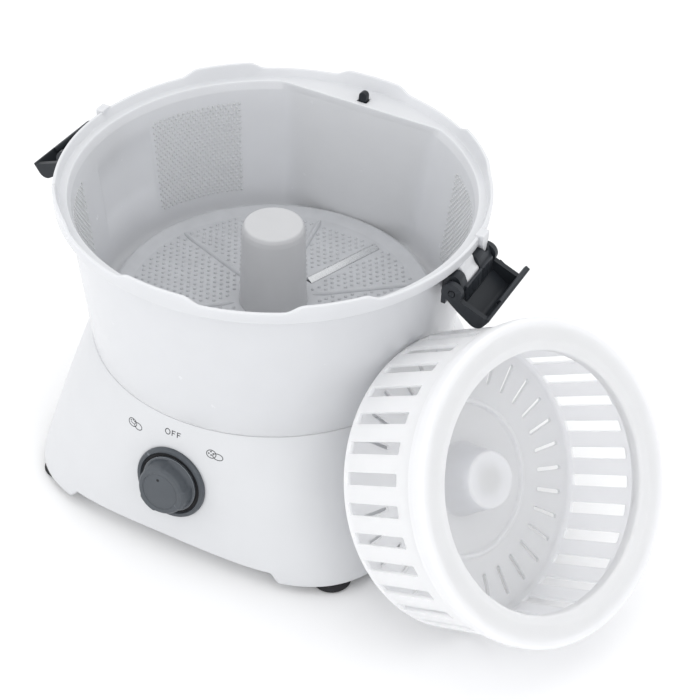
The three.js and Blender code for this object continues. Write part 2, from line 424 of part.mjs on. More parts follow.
// the rear knuckle is notched under the tip of the lug
const NOTCH = [[7.7, 190], [19, 190], [19, 182], [16.3, 180.4], [14.5, 177.4], [13.9, 174.1], [11.1, 174.1], [8.1, 179.9]];
const rearKnuckle = geo(knuckle(1, 16.2, 1, 14.4, 1, 14.4).subtract(man(prism(NOTCH, 123.1, 132).applyMatrix4(YZ_X))));
const pinGeo = lathe([[0, -20.5], [1.8, -20.5], [1.8, 28], [0, 28]], 16).rotateX(Math.PI / 2).translate(PIV_X, 0, PIV_Z);
add('latch_lever_right', clean(leverGeo), DARK, 0.5);
add('latch_lever_left', mirrorX(leverGeo), DARK, 0.5);
add('latch_knuckle_right_front', clean(frontKnuckle), DARK, 0.5);
add('latch_knuckle_right_rear', clean(rearKnuckle), DARK, 0.5);
add('latch_knuckle_left_front', mirrorX(frontKnuckle), DARK, 0.5);
add('latch_knuckle_left_rear', mirrorX(rearKnuckle), DARK, 0.5);
add('latch_pin_right', clean(pinGeo), STEEL, 0.3, 0.9);
add('latch_pin_left', mirrorX(pinGeo), STEEL, 0.3, 0.9);

// ---- spin basket ----------------------------------------------------------
const az = rad(BASKET_AZ), el = rad(BASKET_EL);
const ax = new THREE.Vector3(Math.cos(el) * Math.cos(az), Math.cos(el) * Math.sin(az), Math.sin(el));
const bu = new THREE.Vector3(-Math.sin(az), Math.cos(az), 0), bv = ax.clone().cross(bu);
const basketM = new THREE.Matrix4().makeBasis(bu, bv, ax)
  .setPosition(new THREE.Vector3(...BASKET_MOUTH).addScaledVector(ax, -BASKET_H));
let basket = man(lathe([
  [0, 25.6], [14.6, 25.6], [16.2, 24.4], [17, 20], [20.4, 2], [21, 1], [43, 1], [43.8, 2.8], [45, 3.2], [46.2, 2.2], [80.8, 2.2], [82.6, 4.6],
  [83.6, 58], [84.7, 68.7], [83.2, 71.1], [77, 71], [73, 68.7], [72.7, 64.2], [BASKET_LIP_R, 64.2], [BASKET_LIP_R, 69.9], [71.8, 71.5], [76, 73], [85.4, BASKET_H],
  [87.9, 72.9], [89.3, 71], [BASKET_R, 69], [BASKET_R, 66.2], [88.2, 61.7], [85.6, 60.7], [BASKET_R0, 3], [83.7, 0.9], [81.5, 0],
  [45.2, 0], [44, -1.2], [18.6, -1.2], [14.4, 11.2], [0, 11.2]], NB).rotateZ(rad(SLOT_PHASE + 180 / SLOTS)));
// the socket that drives it takes the hexagon of the shaft, in place of the disc
basket = basket.subtract(man(cyl(14.2 / Math.sqrt(3), 10, 22.8, 0, 0, 6)));
for (let i = 0; i < SLOTS; i++) {
  const a = rad(SLOT_PHASE + i * 360 / SLOTS), b = rad(SLOT_PHASE + (i + 0.5) * 360 / SLOTS);
  basket = basket.subtract(man(box(79, 95, -3.4, 3.4, 4.6, 48.4).applyMatrix4(new THREE.Matrix4().makeRotationZ(a))));
  basket = basket.subtract(man(box(56.4, 75.3, -1.2, 1.2, -2, 6).applyMatrix4(new THREE.Matrix4().makeRotationZ(b))));
}
const basketGroup = new THREE.Group();
basketGroup.applyMatrix4(basketM);
group.add(basketGroup);
add('spin_basket', geo(basket), 0xf0f1f5, 0.3, 0, basketGroup);

group.updateMatrixWorld(true);
export default group;
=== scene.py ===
# Looks for the electric potato peeler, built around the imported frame.
# Shapes are worked out in millimetres and stored in metres.
import json
import math

import bmesh
import bpy
from mathutils import Matrix, Vector


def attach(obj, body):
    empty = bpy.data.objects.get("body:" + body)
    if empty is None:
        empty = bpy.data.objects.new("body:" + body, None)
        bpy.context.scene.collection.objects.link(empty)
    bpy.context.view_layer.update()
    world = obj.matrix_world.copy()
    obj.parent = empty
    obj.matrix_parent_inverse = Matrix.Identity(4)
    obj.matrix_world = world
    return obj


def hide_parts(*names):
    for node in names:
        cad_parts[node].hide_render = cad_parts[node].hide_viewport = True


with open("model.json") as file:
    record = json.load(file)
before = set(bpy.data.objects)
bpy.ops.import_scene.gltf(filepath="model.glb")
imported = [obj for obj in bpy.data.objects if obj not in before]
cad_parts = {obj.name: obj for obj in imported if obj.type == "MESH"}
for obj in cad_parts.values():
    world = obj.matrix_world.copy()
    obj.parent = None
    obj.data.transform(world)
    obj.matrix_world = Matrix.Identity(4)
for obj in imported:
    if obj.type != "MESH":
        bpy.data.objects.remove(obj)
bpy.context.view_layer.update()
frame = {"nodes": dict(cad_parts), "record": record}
NODES = frame["nodes"]
scene = bpy.context.scene
MM = 0.001
rad = math.radians

# ---- camera -----------------------------------------------------------------
cam = bpy.data.cameras.new("camera")
cam.lens, cam.sensor_width, cam.sensor_fit = 90.0, 36.0, "HORIZONTAL"
cam.clip_start, cam.clip_end = 0.05, 50.0
cam_ob = bpy.data.objects.new("camera", cam)
scene.collection.objects.link(cam_ob)
A, E, ROLL = rad(26.7), rad(39.24), rad(-2.40)
fw = Vector((-math.sin(A) * math.cos(E), math.cos(A) * math.cos(E), -math.sin(E)))
rt = Vector((math.cos(A), math.sin(A), 0))
up = rt.cross(fw)
cx = rt * math.cos(ROLL) - up * math.sin(ROLL)
cy = rt * math.sin(ROLL) + up * math.cos(ROLL)
M = Matrix((cx, cy, -fw)).transposed().to_4x4()
M.translation = Vector((0.41883, -0.72681, 0.74473))
cam_ob.matrix_world = M
scene.camera = cam_ob


# ---- materials --------------------------------------------------------------
def material(name, color, rough, metal=0.0, spec=0.5, coat=0.0, coat_rough=0.1, sss=0.0, sss_radius=(3, 3, 3),
             mottle=0.03, mottle_scale=60.0, grain=0.0, grain_scale=2500.0, brushed=None, rough_var=0.05, wear=0.0, ior=1.46, trans=0.0):
    """A moulded or metal surface: slow colour and gloss variation, a fine grain in the bump, paler worn edges."""
    m = bpy.data.materials.new(name)
    m.use_nodes = True
    nt = m.node_tree
    nt.nodes.clear()
    out = nt.nodes.new("ShaderNodeOutputMaterial")
    p = nt.nodes.new("ShaderNodeBsdfPrincipled")
    nt.links.new(p.outputs[0], out.inputs[0])
    p.inputs["Metallic"].default_value = metal
    p.inputs["Specular IOR Level"].default_value = spec
    p.inputs["IOR"].default_value = ior
    p.inputs["Coat Weight"].default_value = coat
    p.inputs["Coat Roughness"].default_value = coat_rough
    p.inputs["Transmission Weight"].default_value = trans
    if sss:
        p.inputs["Subsurface Weight"].default_value = sss
        p.inputs["Subsurface Radius"].default_value = tuple(sss_radius)
        p.inputs["Subsurface Scale"].default_value = MM
    tc = nt.nodes.new("ShaderNodeTexCoord")
    n1 = nt.nodes.new("ShaderNodeTexNoise")
    n1.inputs["Scale"].default_value = mottle_scale
    n1.inputs["Detail"].default_value = 3
    nt.links.new(tc.outputs["Object"], n1.inputs["Vector"])
    ramp = nt.nodes.new("ShaderNodeValToRGB")
    lo = tuple(max(0.0, c * (1 - mottle)) for c in color)
    hi = tuple(min(1.0, c * (1 + mottle)) for c in color)
    ramp.color_ramp.elements[0].position, ramp.color_ramp.elements[1].position = 0.35, 0.65
    ramp.color_ramp.elements[0].color = (*lo, 1)
    ramp.color_ramp.elements[1].color = (*hi, 1)
    nt.links.new(n1.outputs["Fac"], ramp.inputs["Fac"])
    col = ramp.outputs["Color"]
    if wear:
        geo = nt.nodes.new("ShaderNodeNewGeometry")
        wr = nt.nodes.new("ShaderNodeMapRange")
        wr.inputs["From Min"].default_value, wr.inputs["From Max"].default_value = 0.54, 0.62
        wr.inputs["To Min"].default_value, wr.inputs["To Max"].default_value = 0.0, wear
        nt.links.new(geo.outputs["Pointiness"], wr.inputs["Value"])
        mix = nt.nodes.new("ShaderNodeMix")
        mix.data_type = "RGBA"
        mix.inputs[7].default_value = tuple(min(1.0, c * 2.4 + 0.03) for c in color) + (1,)
        nt.links.new(wr.outputs[0], mix.inputs[0])
        nt.links.new(col, mix.inputs[6])
        col = mix.outputs[2]
    nt.links.new(col, p.inputs["Base Color"])
    mr = nt.nodes.new("ShaderNodeMapRange")
    mr.inputs["To Min"].default_value = max(0.02, rough - rough_var)
    mr.inputs["To Max"].default_value = rough + rough_var
    n2 = nt.nodes.new("ShaderNodeTexNoise")
    n2.inputs["Scale"].default_value = mottle_scale * 2.3
    n2.inputs["Detail"].default_value = 4
    if brushed:
        mp = nt.nodes.new("ShaderNodeMapping")
        mp.inputs["Scale"].default_value = brushed
        nt.links.new(tc.outputs["Object"], mp.inputs["Vector"])
        nt.links.new(mp.outputs[0], n2.inputs["Vector"])
    else:
        nt.links.new(tc.outputs["Object"], n2.inputs["Vector"])
    nt.links.new(n2.outputs["Fac"], mr.inputs["Value"])
    nt.links.new(mr.outputs[0], p.inputs["Roughness"])
    if grain:
        n3 = nt.nodes.new("ShaderNodeTexNoise")
        n3.inputs["Scale"].default_value = grain_scale
        n3.inputs["Detail"].default_value = 2
        nt.links.new(tc.outputs["Object"], n3.inputs["Vector"])
        b = nt.nodes.new("ShaderNodeBump")
        b.inputs["Strength"].default_value = grain
        b.inputs["Distance"].default_value = 0.0002
        nt.links.new(n3.outputs["Fac"], b.inputs["Height"])
        nt.links.new(b.outputs[0], p.inputs["Normal"])
    return m


MAT = {
    "white_shell": material("white_shell", (0.643, 0.651, 0.666), 0.30, spec=0.5, mottle=0.006, grain=0.03, grain_scale=1800, rough_var=0.03),
    "bowl_white": material("bowl_white", (0.640, 0.648, 0.664), 0.26, spec=0.5, sss=0.35, sss_radius=(5, 5, 5.2), mottle=0.006, grain=0.02, grain_scale=1500, rough_var=0.03),
    "basket_plastic": material("basket_plastic", (0.748, 0.753, 0.771), 0.44, spec=0.18, sss=0.9, sss_radius=(13, 13, 13.6), mottle=0.006, grain=0.03, rough_var=0.04),
    "hub_plastic": material("hub_plastic", (0.525, 0.528, 0.538), 0.32, mottle=0.012, grain=0.04, rough_var=0.03),
    "disc_plastic": material("disc_plastic", (0.50, 0.51, 0.53), 0.42, mottle=0.03, mottle_scale=90, grain=0.10, grain_scale=1600),
    "grey_plastic": material("grey_plastic", (0.070, 0.079, 0.090), 0.40, spec=0.45, mottle=0.05, grain=0.12, grain_scale=3000, wear=0.7),
    # A lighter grey used only for the thin ring on the knob's skirt edge: a painted glint, not a part with its own
    # colour.
    "painted_glint_grey": material("painted_glint_grey", (0.30, 0.32, 0.34), 0.35, mottle=0.05),
    "dark_plastic": material("dark_plastic", (0.017, 0.0200, 0.0245), 0.42, spec=0.30, mottle=0.06, grain=0.12, grain_scale=3000, wear=0.30),
    "foot_rubber": material("foot_rubber", (0.020, 0.020, 0.022), 0.72, spec=0.3, mottle=0.15, grain=0.25, grain_scale=1800),
    "steel": material("steel", (0.62, 0.63, 0.64), 0.28, metal=1.0, mottle=0.03, brushed=(8, 8, 160), rough_var=0.08),
    "motor_steel": material("motor_steel", (0.42, 0.43, 0.44), 0.38, metal=1.0, mottle=0.08, brushed=(60, 60, 6), rough_var=0.1),
    "laminations": material("laminations", (0.20, 0.17, 0.14), 0.45, metal=0.7, mottle=0.12, brushed=(4, 4, 400), rough_var=0.12),
    "bronze": material("bronze", (0.50, 0.30, 0.12), 0.38, metal=1.0, mottle=0.10, rough_var=0.08),
    "gear_plastic": material("gear_plastic", (0.78, 0.75, 0.64), 0.45, mottle=0.03, sss=0.1, sss_radius=(2, 1.6, 1), grain=0.05),
    "inner_plastic": material("inner_plastic", (0.060, 0.065, 0.070), 0.5, mottle=0.08, grain=0.12),
    "plunger_plastic": material("plunger_plastic", (0.45, 0.05, 0.03), 0.4, mottle=0.06, grain=0.05),
    "lead_brown": material("lead_brown", (0.12, 0.05, 0.03), 0.55, mottle=0.10, grain=0.08),
    "print_grey": material("print_grey", (0.018, 0.020, 0.024), 0.6, mottle=0.08, grain=0.05),
    "floor_pale": material("floor_pale", (0.955, 0.955, 0.957), 0.8, spec=0.1, mottle=0.004, mottle_scale=6, grain=0.0),
}


# ---- mesh helpers -----------------------------------------------------------
def make(name, V, F, mat, T=None, angle=34):
    me = bpy.data.meshes.new(name)
    if T is not None:
        V = [T @ Vector(v) for v in V]
    me.from_pydata([(v[0] * MM, v[1] * MM, v[2] * MM) for v in V], [], F)
    bm = bmesh.new()
    bm.from_mesh(me)
    bmesh.ops.remove_doubles(bm, verts=bm.verts, dist=1.5e-6)
    bmesh.ops.dissolve_degenerate(bm, edges=bm.edges, dist=1e-7)
    bmesh.ops.recalc_face_normals(bm, faces=bm.faces)
    bm.to_mesh(me)
    bm.free()
    for p in me.polygons:
        p.use_smooth = True
    me.set_sharp_from_angle(angle=rad(angle))
    me.materials.append(MAT[mat])
    ob = bpy.data.objects.new(name, me)
    scene.collection.objects.link(ob)
    ob["sharp"] = angle
    return ob


def bake_mods(ob):
    """Stores the result of the modifiers in the mesh."""
    dg = bpy.context.evaluated_depsgraph_get()
    dg.update()
    me = bpy.data.meshes.new_from_object(ob.evaluated_get(dg), depsgraph=dg)
    old = ob.data
    mats = [m for m in old.materials]
    ob.modifiers.clear()
    ob.data = me
    me.materials.clear()
    for m in mats[:1]:
        me.materials.append(m)
    for p in me.polygons:
        p.material_index = 0
        p.use_smooth = True
    me.name = ob.name
    bpy.data.meshes.remove(old)
    bm = bmesh.new()
    bm.from_mesh(me)
    bmesh.ops.remove_doubles(bm, verts=bm.verts, dist=1e-6)
    bmesh.ops.dissolve_degenerate(bm, edges=bm.edges, dist=1e-7)
    bm.to_mesh(me)
    bm.free()
    me.set_sharp_from_angle(angle=rad(ob["sharp"]))
    return ob


def boolean(ob, others, op="DIFFERENCE", solver="EXACT"):
    for o in others:
        m = ob.modifiers.new("bool", "BOOLEAN")
        m.operation, m.object, m.solver = op, o, solver
        if solver == "EXACT":
            m.use_self = False
    bake_mods(ob)
    for o in others:
        me = o.data
        bpy.data.objects.remove(o)
        bpy.data.meshes.remove(me)
    return ob


def bevel(ob, width, segments=3, angle=32):
    m = ob.modifiers.new("bevel", "BEVEL")
    m.width, m.segments, m.limit_method, m.angle_limit = width * MM, segments, "ANGLE", rad(angle)
    m.use_clamp_overlap = True
    m.harden_normals = False
    return bake_mods(ob)


def done(ob, body, slot, *nodes):
    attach(ob, body)
    if nodes:
        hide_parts(*nodes)
    return ob


def fillet(pts, closed=True, step=14.0):
    """Rounds the corners of a 2-D outline; a third number on a point is its radius."""
    out, n = [], len(pts)
    for i, p in enumerate(pts):
        r = p[2] if len(p) > 2 else 0
        if r <= 0 or (not closed and i in (0, n - 1)):
            out.append((p[0], p[1]))
            continue
        a, b, c = Vector(pts[i - 1][:2]), Vector(p[:2]), Vector(pts[(i + 1) % n][:2])
        u, v = (a - b).normalized(), (c - b).normalized()
        ang = math.acos(max(-1, min(1, u.dot(v))))
        if ang > math.pi - 0.03 or ang < 0.03:
            out.append((p[0], p[1]))
            continue
        t = min(r / math.tan(ang / 2), 0.49 * (a - b).length, 0.49 * (c - b).length)
        r2 = t * math.tan(ang / 2)
        p0, p1 = b + u * t, b + v * t
        o = b + (u + v).normalized() * (r2 / math.sin(ang / 2))
        a0, a1 = math.atan2(p0.y - o.y, p0.x - o.x), math.atan2(p1.y - o.y, p1.x - o.x)
        d = (a1 - a0 + math.pi) % (2 * math.pi) - math.pi
        k = max(2, math.ceil(abs(math.degrees(d)) / step))
        for j in range(k + 1):
            q = a0 + d * j / k
            out.append((o.x + r2 * math.cos(q), o.y + r2 * math.sin(q)))
    return out


def arc(cx_, cy_, r, a0, a1, n):
    return [(cx_ + r * math.cos(rad(a0 + (a1 - a0) * i / n)), cy_ + r * math.sin(rad(a0 + (a1 - a0) * i / n))) for i in range(n + 1)]


def lathe(name, prof, mat, T=None, seg=96, closed=True, warp=None, angle=34, angles=None):
    """Turns a profile (r, z) about Z. warp(theta, r, z) may move a point."""
    ths = angles or [2 * math.pi * i / seg for i in range(seg)]
    seg = len(ths)
    n = len(prof)
    V, F = [], []
    for th in ths:
        for (r, z) in prof:
            if warp:
                r, z = warp(th, r, z)
            V.append((r * math.cos(th), r * math.sin(th), z))
    for i in range(seg):
        j = (i + 1) % seg
        for k in range(n if closed else n - 1):
            l = (k + 1) % n
            F.append((i * n + k, j * n + k, j * n + l, i * n + l))
    return make(name, V, F, mat, T, angle)


def prism(name, pts, y0, y1, mat, T=None, angle=34):
    """An outline in (x, z), with depth along Y."""
    n = len(pts)
    V = [(p[0], y0, p[1]) for p in pts] + [(p[0], y1, p[1]) for p in pts]
    F = [tuple(range(n)), tuple(range(2 * n - 1, n - 1, -1))]
    F += [(i, (i + 1) % n, n + (i + 1) % n, n + i) for i in range(n)]
    return make(name, V, F, mat, T, angle)


def prism_x(name, pts, x0, x1, mat, T=None, angle=34):
    """An outline in (y, z), with depth along X."""
    n = len(pts)
    V = [(x0, p[0], p[1]) for p in pts] + [(x1, p[0], p[1]) for p in pts]
    F = [tuple(range(n)), tuple(range(2 * n - 1, n - 1, -1))]
    F += [(i, (i + 1) % n, n + (i + 1) % n, n + i) for i in range(n)]
    return make(name, V, F, mat, T, angle)


def tube_prism(name, pts, z0, z1, mat, T=None, angle=34):
    """An outline in (x, y), with depth along Z."""
    n = len(pts)
    V = [(p[0], p[1], z0) for p in pts] + [(p[0], p[1], z1) for p in pts]
    F = [tuple(range(n)), tuple(range(2 * n - 1, n - 1, -1))]
    F += [(i, (i + 1) % n, n + (i + 1) % n, n + i) for i in range(n)]
    return make(name, V, F, mat, T, angle)


def loft(name, rings, mat, T=None, loop=True, angle=34):
    n = len(rings[0])
    V = [p for r in rings for p in r]
    F = []
    m = len(rings)
    for i in range(m if loop else m - 1):
        a, b = i * n, ((i + 1) % m) * n
        for j in range(n):
            k = (j + 1) % n
            F.append((a + j, a + k, b + k, b + j))
    if not loop:
        F.append(tuple(range(n)))
        F.append(tuple(range(m * n - 1, (m - 1) * n - 1, -1)))
    return make(name, V, F, mat, T, angle)


def join(name, obs):
    """Puts several closed shells in one object."""
    bm = bmesh.new()
    for o in obs:
        bm.from_mesh(o.data)
    me = bpy.data.meshes.new(name)
    bm.to_mesh(me)
    bm.free()
    me.materials.append(obs[0].data.materials[0])
    sharp = obs[0]["sharp"]
    for o in obs:
        old = o.data
        bpy.data.objects.remove(o)
        bpy.data.meshes.remove(old)
    for p in me.polygons:
        p.use_smooth = True
    me.set_sharp_from_angle(angle=rad(sharp))
    ob = bpy.data.objects.new(name, me)
    scene.collection.objects.link(ob)
    ob["sharp"] = sharp
    return ob


def lerp(a, b, t):
    return a + (b - a) * t


def smooth(t):
    t = max(0.0, min(1.0, t))
    return t * t * (3 - 2 * t)


# ---- base housing -----------------------------------------------------------
TOP_Z, TOP_R, HALF, EXPO, WALL = 84.0, 109.4, 123.5, 3.8, 2.8


def base_an(z):
    t = min(1.0, max(0.0, (TOP_Z - z) / TOP_Z))
    return TOP_R + (HALF - TOP_R) * t, 2 + (EXPO - 2) * t


def base_r(th, z, off=0.0):
    a, n = base_an(z)
    return (a - off) / (abs(math.cos(th)) ** n + abs(math.sin(th)) ** n) ** (1 / n)


def bottom_z(th):
    d = abs(((math.degrees(th) - 45) % 90 + 45) % 90 - 45)
    return lerp(-3.0, 3.0, smooth((d - 13.1) / 2.5))


degs = [i * 360 / 288 for i in range(288)]
for c in (45, 135, 225, 315):
    for s in (-1, 1):
        degs += [c + s * (13.1 + 2.5 * k / 8) for k in range(9)]
degs = sorted(set(round(d % 360, 3) for d in degs))
TH = [rad(d) for d in degs]


def base_ring(off, zf):
    out = []
    for th in TH:
        z = zf(th) if callable(zf) else zf
        r = base_r(th, z, off)
        out.append((r * math.cos(th), r * math.sin(th), z))
    return out


def flat_ring(r, z):
    return [(r * math.cos(th), r * math.sin(th), z) for th in TH]


rings = []
for off, dz in ((1.5, 0.0), (1.0, 0.0), (0.62, 0.08), (0.3, 0.28), (0.08, 0.6), (0.0, 1.0)):
    rings.append(base_ring(off, lambda th, dz=dz: bottom_z(th) + dz))
for k in range(1, 20):
    t = k / 20
    rings.append(base_ring(0.0, lambda th, t=t: lerp(bottom_z(th) + 1.0, 83.5, t)))
for off, z in ((0, 83.5), (0.03, 83.68), (0.11, 83.84), (0.25, 83.95), (0.45, 84.0), (1.95, 84.0), (2.4, 83.9), (2.7, 83.6),
               (2.8, 83.2), (2.8, 82.3), (2.95, 81.85), (3.3, 81.58), (3.9, 81.5)):
    rings.append(base_ring(off, z))
for r, z in ((92, 81.5), (60, 81.5), (36, 81.5), (17.8, 81.5), (17.3, 81.35), (17.1, 81.0), (17.1, 78.5), (60, 78.5)):
    rings.append(flat_ring(r, z))
rings.append(base_ring(3.6, 78.5))
for k in range(0, 11):
    t = k / 10
    rings.append(base_ring(2.8, lambda th, t=t: lerp(78.0, bottom_z(th) + 0.6, t)))
rings.append(base_ring(2.3, lambda th: bottom_z(th)))
base = loft("housing_shell", rings, "white_shell")

TILT = math.atan((HALF - TOP_R) / TOP_Z)
FRONT = Matrix.Translation((0, -116.45, 42)) @ Matrix.Rotation(math.pi / 2 - TILT, 4, "X")
REAR = Matrix.Translation((0, 120.14, 20)) @ Matrix.Rotation(-(math.pi / 2 - TILT), 4, "X")
circ = lambda r, n=48, x=0.0, y=0.0: [(x + r * math.cos(2 * math.pi * i / n), y + r * math.sin(2 * math.pi * i / n)) for i in range(n)]
cutters = [
    tube_prism("c1", circ(6.2), -12, 12, "white_shell", FRONT),
    tube_prism("c2", circ(6.3), -12, 12, "white_shell", REAR),
    tube_prism("c3", circ(2.6, 24, 0, 103.6), 70, 90, "white_shell"),
]
boolean(base, cutters)
done(base, "base", "white_shell", "base_housing")

# ---- feet -------------------------------------------------------------------
foot_prof = fillet([(0, -9), (10.9, -9, 0.8), (12, -7.6, 0.6), (10.8, -3.6, 0.8), (6.5, -3.6, 0.3), (6.2, -0.3, 0.2), (4.05, -0.3, 0.1), (4.05, 3.3, 0.1),
                    (5.6, 3.3, 0.4), (3.4, 6.4, 0.5), (0, 6.4)], closed=False)
for nm, x, y in (("foot_rear_right", 95, 95), ("foot_rear_left", -95, 95), ("foot_front_left", -95, -95), ("foot_front_right", 95, -95)):
    done(lathe(nm + "_pad", foot_prof, "foot_rubber", Matrix.Translation((x, y, 0)), seg=64, closed=False), "base", "foot_rubber", nm)

# ---- control bezel and knob -------------------------------------------------
bez = fillet([(22.6, 0.0, 0.0), (22.6, 1.5, 0.35), (21.9, 2.5, 0.5), (19.9, 2.6, 0.35), (19.4, 0.8, 0.3), (8, 0.8, 0.2), (8, -2.6, 0.1), (20.9, -2.6, 0.1), (20.9, 0.0)])
done(lathe("control_ring", bez, "grey_plastic", FRONT, seg=160), "base", "grey_plastic", "control_bezel")
# Near-black ring laid in the bezel's well: painted shade standing in for the deep shadow inside that narrow groove, not
# a real seal.
well = fillet([(15.0, 0.7), (19.5, 0.7), (19.5, 1.0, 0.1), (15.0, 1.0, 0.1)])
done(lathe("control_well_painted_shade", well, "foot_rubber", FRONT, seg=120), "base", "foot_rubber")
knob_prof = fillet([(0, 1.2), (17.3, 1.2, 0.3), (17.4, 3.3, 0.5), (16.6, 4.0, 0.5), (16.0, 11.6, 0.9), (14.9, 13, 0.7), (11.9, 13, 0.25), (11.5, 12.55, 0.2), (11.1, 12.55, 0.2), (10.8, 12.75, 0.2), (0, 12.75)], closed=False, step=18)
knob_prof2 = []
for i, (r, z) in enumerate(knob_prof):
    knob_prof2.append((r, z))
    if i + 1 < len(knob_prof):
        r1, z1 = knob_prof[i + 1]
        if 4.0 < z < 12 and abs(z1 - z) > 3:
            for k in range(1, 6):
                knob_prof2.append((lerp(r, r1, k / 6), lerp(z, z1, k / 6)))


def knob_warp(th, r, z):
    """Three shallow finger scoops in the barrel."""
    d = math.degrees(th)
    w = 0.0
    for c in (55, 175, 295):
        q = abs((d - c + 180) % 360 - 180)
        w = max(w, smooth((40 - q) / 7.5) * (0.62 + 0.38 * math.cos(rad(q * 90 / 40))))
    if z > 3.6 and r > 11.3:
        f = smooth((z - 3.6) / 1.6)
        if r < 14.0:
            f *= smooth((r - 11.3) / 3.0)
        return r - 1.15 * w * f, z
    return r, z


knob = lathe("dial", knob_prof2, "grey_plastic", FRONT, seg=216, closed=False, warp=knob_warp, angle=40)
dot = lathe("dial_dot", fillet([(0, -0.3), (0.9, -0.3, 0.1), (0.9, 0.12, 0.1), (0, 0.12)], closed=False), "foot_rubber", FRONT @ Matrix.Translation((-1.8, 7.2, 12.75)), seg=24, closed=False)
done(knob, "knob", "grey_plastic", "control_knob")
# Thin lighter ring on the knob's skirt edge: a painted highlight standing in for the glint the light makes on that
# sharp edge.
edge = lathe("dial_painted_glint", [(17.36 + 0.13 * math.cos(q * math.pi / 5), 3.1 + 0.13 * math.sin(q * math.pi / 5)) for q in range(10)], "painted_glint_grey", FRONT, seg=160)
done(edge, "knob", "grey_plastic")
done(dot, "knob", "foot_rubber")

# ---- cord gland -------------------------------------------------------------
gl = fillet([(3.6, -7, 0.3), (3.6, 7, 0.5), (5.2, 7, 0.5), (6.6, 2.6, 0.8), (9, 2.6, 0.7), (9, 0.5, 0.1), (6.05, 0.5), (6.05, -3.5), (8, -3.5, 0.2), (7, -7, 0.4)])
gl2 = []
for i, (r, z) in enumerate(gl):
    gl2.append((r, z))
done(lathe("cord_gland_boot", gl2, "foot_rubber", REAR, seg=64), "base", "foot_rubber", "cord_gland")

# ---- bowl -------------------------------------------------------------------
Z0, Z1 = 84.6, 176.0
wall = lambda z: 109 + 9.5 * (z - Z0) / (Z1 - Z0)
flat_y = lambda z: 104.3 - 0.07 * (178 - z)


def crest(deg):
    c = 0.0
    for k in (45, 90, 135, 225, 270, 315):
        d = abs((deg - k + 180) % 360 - 180)
        c = max(c, smooth((12.4 - d) / 4.8))
    return 4 * c


def r_in(z):
    return wall(z) - 2.6 if z <= 175 else lerp(115.8, 118.0, min(1.0, (z - 175) / 5))


outer = [(wall(84.6) - 2.6, 84.1, 0.3), (wall(84.6), 84.1, 0.3), (wall(107), 107), (wall(130), 130), (wall(153), 153), (118.3, 174.6, 2.0), (125.6, 178.0, 0.8), (126, 185, 0.9), (124.2, 185, 0.8), (122.2, 180, 1.0)]
inner = [(118, 180, 1.1), (115.9, 175, 3.0), (r_in(168), 168), (r_in(160.5), 160.5), (r_in(159.9), 159.9), (r_in(145), 145), (r_in(130), 130), (r_in(123.5), 123.5), (r_in(122.9), 122.9), (r_in(110), 110),
         (r_in(100), 100, 0), (r_in(91.5), 91.5, 7.0)]
floor_ = [(60, 91.5), (12, 91.5, 2.0), (12, 106, 0.8), (9.2, 106, 0.5), (9.2, 88.5), (60, 88.5), (wall(88) - 2.6, 88.5, 1.5)]
prof_all = fillet(outer + inner + floor_, step=13)

bdeg = [i * 360 / 360 for i in range(360)]
for c in (64.6, 115.4):
    bdeg += [c + k * 0.25 for k in range(-12, 13)]
for c in (162.0, 187.0):
    bdeg += [c - 0.25, c + 0.25]
bdeg = sorted(set(round(d % 360, 3) for d in bdeg))
BTH = [rad(d) for d in bdeg]


def smin(a, b, k):
    h = max(0.0, min(1.0, 0.5 + 0.5 * (b - a) / k))
    return lerp(b, a, h) - k * h * (1 - h)


def bowl_warp(th, r, z):
    deg = math.degrees(th) % 360
    inside = (z > 91.0 and r > 40 and z < 180.6 and r < r_in(min(z, 180)) + 3.2) if z > 91.0 else False
    # outside wall points are 2.6 mm or more beyond the inner wall
    if inside and z < 179.0 and r > r_in(z) + 1.3:
        inside = False
    if inside and r > 90:
        ri = r_in(min(z, 180.0))
        s = math.sin(th)
        rc = smin(ri, flat_y(z) / s, 2.2) if s > 0.2 else ri
        dr = r - ri
        rr = rc + dr
        if 122.0 < z < 161 and abs(dr) < 0.4:
            a = smooth((deg - 161.7) / 0.6) * smooth((187.3 - deg) / 0.6)
            b = smooth((z - 122.85) / 0.7) * smooth((160.55 - z) / 0.7)
            rr += 0.25 * a * b
        r = rr
    elif z > 182 and r > 121:
        z = z + crest(deg) * min(1.0, (z - 182) / 2.0)
    return r, z


bowl = lathe("bowl_shell", prof_all, "bowl_white", closed=True, warp=bowl_warp, angles=BTH, angle=30)

# tab between the knuckles and the lug behind each latch
PX, PZ = 127.2, 169.5
extras = []
for sx in (1, -1):
    S = Matrix.Scale(sx, 4, (1, 0, 0))
    prof = [(115.3, 160.5), (123, 160.5)] + arc(PX, PZ, 3.6, -125, 62, 20) + fillet([(128.9, 172.7), (127.6, 174.4, 1.2), (126, 178.4, 1.0), (117.3, 178.4)], closed=False)[1:]
    t = prism("t", prof, -14, 0.5, "bowl_white", S)
    t = boolean(t, [prism("h", [(PX + 2.2 * math.cos(q * math.pi / 16), PZ + 2.2 * math.sin(q * math.pi / 16)) for q in range(32)], -20, 20, "bowl_white", S)])
    bevel(t, 0.4, 2)
    e = prism_x("e", fillet([(8.0, 186.4, 0.8), (16.2, 186.4, 1.2), (15.9, 180.4, 1.4), (14.2, 177.6, 1.0), (13.6, 174.4, 0.6), (11.4, 174.4, 0.6), (8.4, 180.0, 2.0)]), 123.4, 128.6, "bowl_white", S)
    bevel(e, 0.45, 3)
    extras += [t, e]
boolean(bowl, extras, "UNION")

# channel behind the chord wall, open at the bottom, and the slot over it
ROD = Matrix.Translation((0, 110.2, 178)) @ Matrix.Rotation(-math.atan(0.07), 4, "X")


